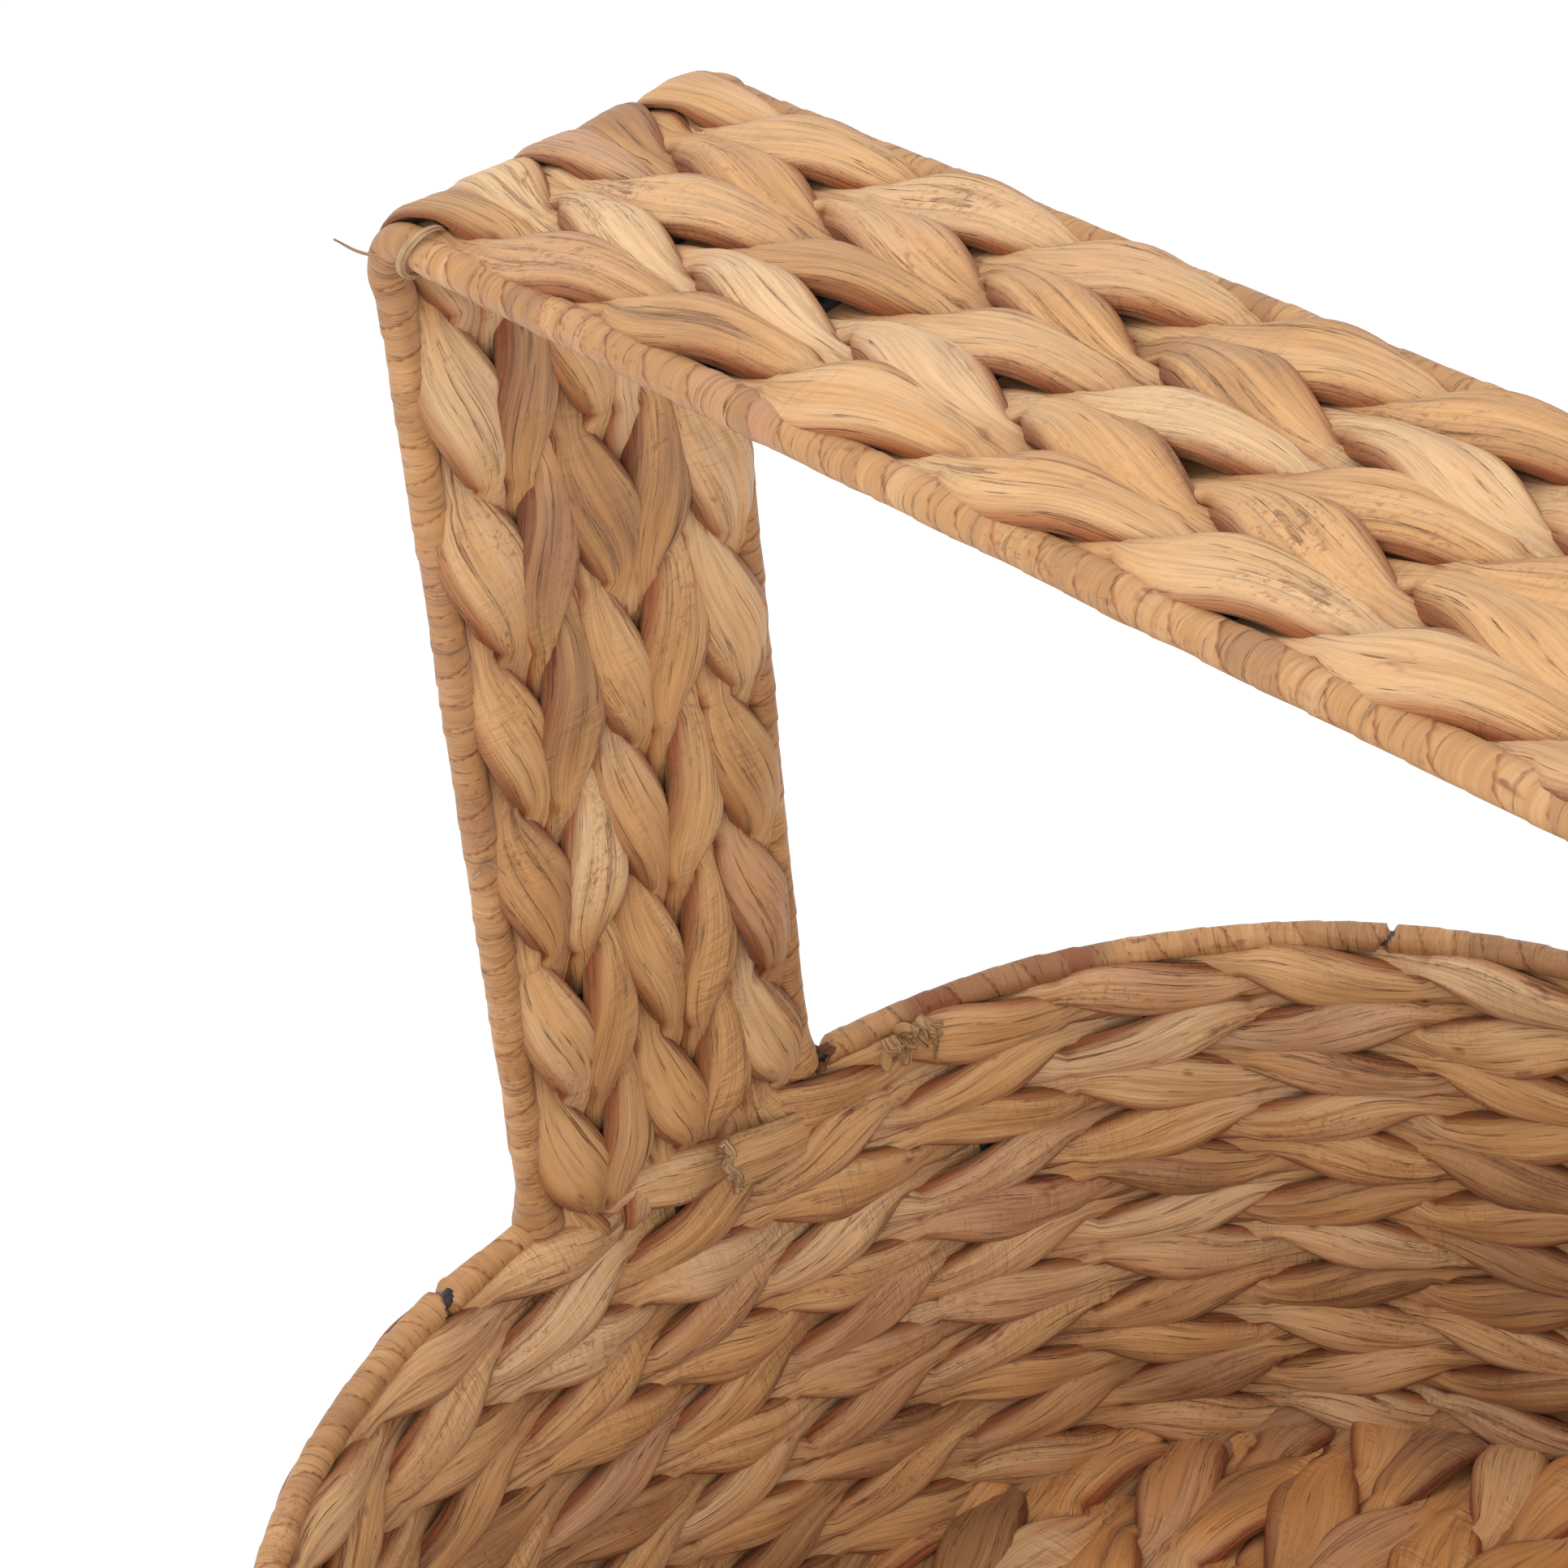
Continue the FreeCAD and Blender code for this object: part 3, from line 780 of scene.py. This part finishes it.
class BASKET_OT_wall(bpy.types.Operator):
    """Twines the courses of the wall, each slanting against its neighbours"""
    bl_idname = "basket.wall"
    bl_label = "Wall courses"

    def execute(self, context):
        weave = settings().weave
        base_z, rim_z = node_middle("base_wire")[2], node_middle("rim_wire")[2]
        lean = math.atan2(-base_offset(), rim_z - base_z)
        rng = np.random.default_rng(31)
        total = outline_length()
        count = 11
        spread = ring_lay(0, 0, 0, weave.step).distance
        bulge = wobble(rng, spread, total, 0.45 * MM)
        sag = wobble(rng, spread, total, 0.35 * MM)
        for i in range(count):
            node = "wall_course_%02d" % (i + 1)
            z = node_middle(node)[2]
            offset = base_offset() * (1 - (z - base_z) / (rim_z - base_z))
            lay = ring_lay(z, offset, lean, weave.step)
            own = wobble(rng, spread, total, 0.18 * MM)
            snug = 1.1 * MM * ((i == count - 1) - (i == 0))
            points = lay.points + lay.normals * (bulge + own)[:, None]
            points = points + lay.widths * (snug if snug else (sag - own)[:, None])
            lay_course("course_%02d" % (i + 1), [node], lay._replace(points=points), 1 if i % 2 else -1,
                       node_half(node)[2] + 0.2 * MM, 100 + i, "dried_stem", -0.13)
        return {"FINISHED"}


class BASKET_OT_floor(bpy.types.Operator):
    """Twines the straight rows of the floor"""
    bl_idname = "basket.floor_rows"
    bl_label = "Floor rows"

    def execute(self, context):
        weave = settings().weave
        first, second = node_middle("floor_row_10"), node_middle("floor_row_11")
        pitch = math.hypot(second[0] - first[0], second[1] - first[1])
        names = [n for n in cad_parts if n.startswith("floor_row_")]
        for i in range(1, len(names) + 1):
            lay = floor_lay(i, weave.step)
            # The floor's rows take the shaded amber stem and a slightly darker tone: painted shade inside
            # the basket.
            lay_course("floor_%02d" % i, ["floor_row_%02d" % i], lay, 1 if i % 2 else -1,
                       pitch / 2 + 0.1 * MM, 300 + i, "shaded_floor_stem", 0.10, half_depth=5.9 * MM,
                       taper=end_taper(lay, 8 * MM, 0.6), press=end_taper(lay, 18 * MM, 0.5), shade=-0.06)
        # floor_edge and floor_fill are rings at the wall's foot in a much darker tone: painted shadow under
        # the wall's lowest course.
        for name, inward, up, lean, half_width, shade in (("floor_edge", 3.4, 3.2, 40, 4.4, -0.4),
                                                          ("floor_fill", 8.0, 0.2, -97, 7.0, -0.5)):
            lay = ring_lay(node_middle("base_wire")[2] + up * MM, base_offset() - inward * MM,
                           math.radians(lean), weave.step)
            lay_course(name, [], lay._replace(stake=lay.stake * 2), 1, half_width * MM, 399, "shaded_floor_stem",
                       0.10, half_depth=3.4 * MM, shade=shade)
        return {"FINISHED"}


class BASKET_OT_strap(bpy.types.Operator):
    """Twines the strap's courses up one post, along the bar and down the other post"""
    bl_idname = "basket.strap"
    bl_label = "Strap courses"

    def execute(self, context):
        weave = settings().weave
        names = sorted(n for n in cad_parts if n.startswith("strap_row_"))
        for i, node in enumerate(names):
            lay = square_bends(handle_lay(node_middle(node)[1], -13 * MM, weave.step), 2.6 * MM)
            toward = (i == len(names) - 1) - (i == 0)
            lay = lay._replace(points=lay.points + lay.widths * toward * 0.7 * MM)
            half_width = node_half(node)[1] + (1.0 if toward else 0.4) * MM
            press = bend_press(lay, 0.52) * end_taper(lay, 9 * MM, 0.25)
            lay_course("strap_%d" % (i + 1), [node], lay, -1 if i % 2 else 1, half_width, 500 + i,
                       "dried_stem", 0.12, taper=end_taper(lay, 12 * MM, 0.4), press=press)
        return {"FINISHED"}


class BASKET_OT_bindings(bpy.types.Operator):
    """Winds strips round the rim, the base ring and the strap's two edge wires"""
    bl_idname = "basket.bindings"
    bl_label = "Bindings"

    def execute(self, context):
        step = 0.65 * MM
        total = outline_length()
        half = total / 2
        bare = [(half - 38 * MM, 2.8 * MM), (half + 61 * MM, 2.2 * MM), (0.348 * total, 1.1 * MM),
                (0.09 * total, 1.0 * MM)]
        stained = [(half - 81 * MM, 25 * MM), (0.318 * total, 15 * MM), (0.71 * total, 18 * MM)]
        rings = (("rim", 0.0, bare, stained), ("base", base_offset(), [], []))
        for seed, (name, offset, open_spots, dark_spots) in enumerate(rings):
            lay = ring_lay(node_middle(name + "_wire")[2], offset, 0.0, step)
            self.wind(name + "_wrap", lay, 3.2 * MM, open_spots, dark_spots, 700 + seed, name + "_binding")
        for seed, side in enumerate(("front", "back")):
            lay = square_bends(handle_lay(node_middle("handle_wire_" + side)[1], 0.5 * MM, step), 1.0 * MM)
            from_end = np.minimum(lay.distance, lay.distance[-1] - lay.distance)
            outer = 3.5 * MM + 1.6 * MM * np.exp(-(from_end / (6 * MM)) ** 2)
            self.wind("strap_wrap_" + side, lay, outer[:, None], [], [], 710 + seed,
                      "handle_binding_" + side)
        return {"FINISHED"}

    def wind(self, name, lay, outer, bare, stained, seed, node):
        stock = MeshStock()
        wind_strip(stock, lay, outer, bare, stained, np.random.default_rng(seed))
        finish_piece(stock.build(name, stem_material("wound_strip")), "binding", node)


def smooth_path(points, step):
    """A curve through a few points given in millimetres."""
    knots = np.array(points, dtype=float) * MM
    knots = np.vstack([2 * knots[0] - knots[1], knots, 2 * knots[-1] - knots[-2]])
    curve = []
    for a, b, c, d in zip(knots, knots[1:], knots[2:], knots[3:]):
        for t in np.linspace(0, 1, max(2, int(np.linalg.norm(c - b) / step)), endpoint=False):
            curve.append(0.5 * (2 * b + (c - a) * t + (2 * a - 5 * b + 4 * c - d) * t**2
                                + (3 * b - a - 3 * c + d) * t**3))
    return np.array(curve + [knots[-2]])


def lay_ribbon(stock, path, aside, half_width, half_thick, rng, tone=0.5, rose=0.2):
    """A flat strip along a path, aside being roughly its width's direction."""
    ahead = np.gradient(path, axis=0)
    ahead /= np.linalg.norm(ahead, axis=1)[:, None]
    aside = np.array(aside, dtype=float)[None] - (ahead @ np.array(aside, dtype=float))[:, None] * ahead
    aside /= np.linalg.norm(aside, axis=1)[:, None]
    front = np.cross(aside, ahead)
    theta = np.arange(20) * 2 * np.pi / 20
    thick = np.broadcast_to(half_thick, len(path))[:, None]
    ripple = 0.25 * thick * np.cos(9 * theta + rng.uniform(0, 6))[None]
    cup = 0.09 * np.max(half_width) * (np.sin(theta)[None] ** 2 - 0.5)
    width = np.broadcast_to(half_width, len(path))[:, None]
    rings = (path[:, None] + aside[:, None] * (width * np.sin(theta)[None])[..., None]
             + front[:, None] * (thick * np.cos(theta)[None] + ripple + cup)[..., None])
    run = run_length(path) / MM + rng.uniform(0, GRAIN_START)
    stem = layers(run[:, None], GRAIN_REACH * np.cos(theta), GRAIN_REACH * np.sin(theta))
    stock.tube(rings, stem, np.broadcast_to((tone, rose, 0.1), stem.shape), None)


def lay_fray(stock, rng, place, away, bow, curl, step, half_widths, half_thick, tone, rose=0.2):
    """A short torn fibre, in millimetres. bow is how far its middle bends, and curl how much of that
    bend is left at its tip."""
    bend = rng.normal(size=3) * bow
    path = smooth_path([place, place + away * 0.5 + bend, place + away + bend * curl], step * MM)
    lay_ribbon(stock, path, rng.normal(size=3), rng.uniform(*half_widths) * MM, half_thick * MM, rng, tone,
               rose)


class BASKET_OT_loose_ends(bpy.types.Operator):
    """Adds the cut end by a post's foot, a frayed knot on the rim, a tied loop and stray fibres"""
    bl_idname = "basket.loose_ends"
    bl_label = "Loose ends"

    def execute(self, context):
        rng = np.random.default_rng(900)
        stock = MeshStock()
        path = smooth_path([(-158.5, 33, 124.5), (-155.6, 25, 127), (-154.2, 17, 129.3), (-153.6, 11, 131.2),
                            (-153.0, 7.6, 132)], 0.7 * MM)
        width = np.interp(np.linspace(0, 1, len(path)), (0, 0.6, 1), (4.2, 5.6, 6.0)) * MM
        lay_ribbon(stock, path, (-0.2, 0.12, 1), width, 0.8 * MM, rng, 0.58)
        lip = [(-153.4, 6.9, 138), (-152.2, 7.6, 135), (-152.9, 6.4, 132.5), (-152.0, 7.9, 129.5),
               (-152.8, 8.4, 126.5)]
        lay_ribbon(stock, smooth_path(lip, 0.5 * MM), (0.3, 1, 0), 1.1 * MM, 0.8 * MM, rng, 0.85, 0.1)
        rim_z = node_middle("rim_wire")[2] / MM
        lip_middle, knot = np.array([-152.6, 7.4, 132]), np.array([-155.0, 57.0, 135.5])
        for _ in range(22):
            place = lip_middle + np.array([-0.1, -0.1, 1]) * rng.uniform(-6, 6)
            away = rng.uniform((0, -2.0, -1), (1.4, -0.3, 1))
            lay_fray(stock, rng, place, away, 0.4, 0, 0.4, (0.3, 0.8), 0.35, 0.85)
        for _ in range(16):
            around = rng.uniform(0, 2 * np.pi)
            round_wire = np.array([0.5 * math.cos(around), 0.1, 0.9 * math.sin(around)]) * 2.8
            place = np.array([-160.6, rng.uniform(35.5, 40.5), rim_z]) + round_wire
            away = rng.uniform((-1, -3, -2), (1.5, 3, 1))
            lay_fray(stock, rng, place, away, 0.4, 0, 0.5, (0.5, 1.3), 0.3, -0.9, 0.3)
        for _ in range(20):
            place = knot + rng.normal(size=3) * (1.3, 3.2, 1.3)
            away = np.array([4.0, rng.uniform(-4, 4), rng.uniform(-5, 1)])
            lay_fray(stock, rng, place, away, 1.3, 0.4, 0.6, (0.7, 2.0), 0.4, 0.62)
        self.add(stock, "cut_ends")
        stock = MeshStock()
        top_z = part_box("handle_wire_front")[1][2] / MM - 1.6
        strays = [((-134, -35, top_z - 2), (-138, -38, top_z - 1), (-142, -40, top_z + 1)),
                  ((-150.3, -36.9, 229.7), (-147.1, -36.4, 232.9), (-147.6, -34.1, 233.1),
                   (-144.6, -33.3, 231.3)),
                  ((30, -168, rim_z), (34, -172, rim_z + 4), (40, -173, rim_z + 3)),
                  ((163, 40, rim_z + 20), (168, 45, rim_z + 23), (170, 50, rim_z + 20))]
        for stray in strays:
            path = smooth_path(stray, 0.6 * MM)
            half_width = np.linspace(0.42, 0.14, len(path)) * MM
            lay_ribbon(stock, path, (0.3, 0.2, 1), half_width, 0.2 * MM, rng, 1.0, 0.0)
        turn = np.linspace(0, 2 * np.pi, 49)[:-1]
        loop = np.column_stack([-127 + 2.5 * np.sin(turn), -32.5 + 4.7 * np.cos(turn),
                                top_z + 4.7 * np.sin(turn)])
        lay_ribbon(stock, np.vstack([loop, loop[:4]]) * MM, (1, 0.35, 0), 0.9 * MM, 0.45 * MM, rng, 0.8, 0.3)
        self.add(stock, "stray_fibres")
        return {"FINISHED"}

    def add(self, stock, name):
        finish_piece(stock.build(name, stem_material("dried_stem")), "weave")


class BASKET_OT_stage(bpy.types.Operator):
    """Sets the floor, the soft lights and the camera"""
    bl_idname = "basket.stage"
    bl_label = "Stage"

    def execute(self, context):
        stage, scene = settings().stage, context.scene
        desk = NodeDesk("stage_floor")
        desk.feed(desk.shader, {"Base Color": (*settings().colours.ground, 1), "Roughness": 0.9})
        half = 6.0
        mesh = bpy.data.meshes.new("stage_floor")
        corners = [(-half, -half, 0), (half, -half, 0), (half, half, 0), (-half, half, 0)]
        mesh.from_pydata(corners, [], [(0, 1, 2, 3)])
        mesh.materials.append(desk.material)
        ground = bpy.data.objects.new("stage_floor", mesh)
        context.collection.objects.link(ground)
        self.light("key", (-0.25, -0.35, 1.55), (0, 0, 0.12), 1.3, stage.key)
        self.light("fill", (1.2, -1.0, 0.9), (0, 0, 0.15), 1.1, stage.fill)
        world = bpy.data.worlds.new("surroundings")
        scene.world = world
        world.use_nodes = True
        background = world.node_tree.nodes["Background"]
        background.inputs["Color"].default_value = (1, 1, 1, 1)
        background.inputs["Strength"].default_value = stage.sky
        scene.view_settings.view_transform = "Standard"
        self.camera(scene, stage)
        return {"FINISHED"}

    def light(self, name, place, target, size, power):
        data = bpy.data.lights.new(name, "AREA")
        data.size = size
        data.energy = power
        lamp = bpy.data.objects.new(name, data)
        aim = Vector(place) - Vector(target)
        lamp.rotation_mode = "QUATERNION"
        lamp.rotation_quaternion = aim.to_track_quat("Z", "Y")
        lamp.location = place
        bpy.context.collection.objects.link(lamp)

    def camera(self, scene, stage):
        """Heading turns it from looking along +Y, dip lowers its aim, and roll turns the picture."""
        data = bpy.data.cameras.new("camera")
        data.lens = stage.lens
        data.clip_start, data.clip_end = 0.01, 50
        camera = bpy.data.objects.new("camera", data)
        heading, dip, roll = stage.heading, stage.dip, stage.roll
        level = math.cos(dip)
        ahead = np.array([math.sin(heading) * level, math.cos(heading) * level, -math.sin(dip)])
        right = np.array([math.cos(heading), -math.sin(heading), 0.0])
        down = np.cross(ahead, right)
        x = math.cos(roll) * right + math.sin(roll) * down
        y = math.sin(roll) * right - math.cos(roll) * down
        z = -ahead
        place = (stage.camera_x, stage.camera_y, stage.camera_z)
        rows = [[x[i], y[i], z[i], place[i]] for i in range(3)] + [[0, 0, 0, 1]]
        camera.matrix_world = Matrix(rows)
        bpy.context.collection.objects.link(camera)
        scene.camera = camera


STEPS = (BASKET_OT_stage, BASKET_OT_wires, BASKET_OT_wall, BASKET_OT_floor, BASKET_OT_strap,
         BASKET_OT_bindings, BASKET_OT_loose_ends)


class BASKET_PT_panel(bpy.types.Panel):
    """Lists the steps and the settings they read"""
    bl_label = "Twined Basket"
    bl_space_type = "VIEW_3D"
    bl_region_type = "UI"
    bl_category = "Basket"

    def draw(self, context):
        layout = self.layout
        for step in STEPS:
            layout.operator(step.bl_idname)
        for group in ("frame_sizes", "weave", "colours", "stage"):
            box = layout.box()
            box.label(text=group.replace("_", " ").capitalize())
            owner = getattr(context.scene.twined_basket, group)
            for key in owner.__annotations__:
                box.prop(owner, key)


CLASSES = (BasketFrameSizes, BasketWeaveSizes, BasketColours, BasketStage, BasketSettings, *STEPS,
           BASKET_PT_panel)


def register():
    for cls in CLASSES:
        bpy.utils.register_class(cls)
    bpy.types.Scene.twined_basket = PointerProperty(type=BasketSettings)


def unregister():
    del bpy.types.Scene.twined_basket
    for cls in reversed(CLASSES):
        bpy.utils.unregister_class(cls)


def main():
    register()
    bpy.ops.basket.stage()
    bpy.ops.basket.wires()
    bpy.ops.basket.wall()
    bpy.ops.basket.floor_rows()
    bpy.ops.basket.strap()
    bpy.ops.basket.bindings()
    bpy.ops.basket.loose_ends()


if __name__ == "__main__":
    main()
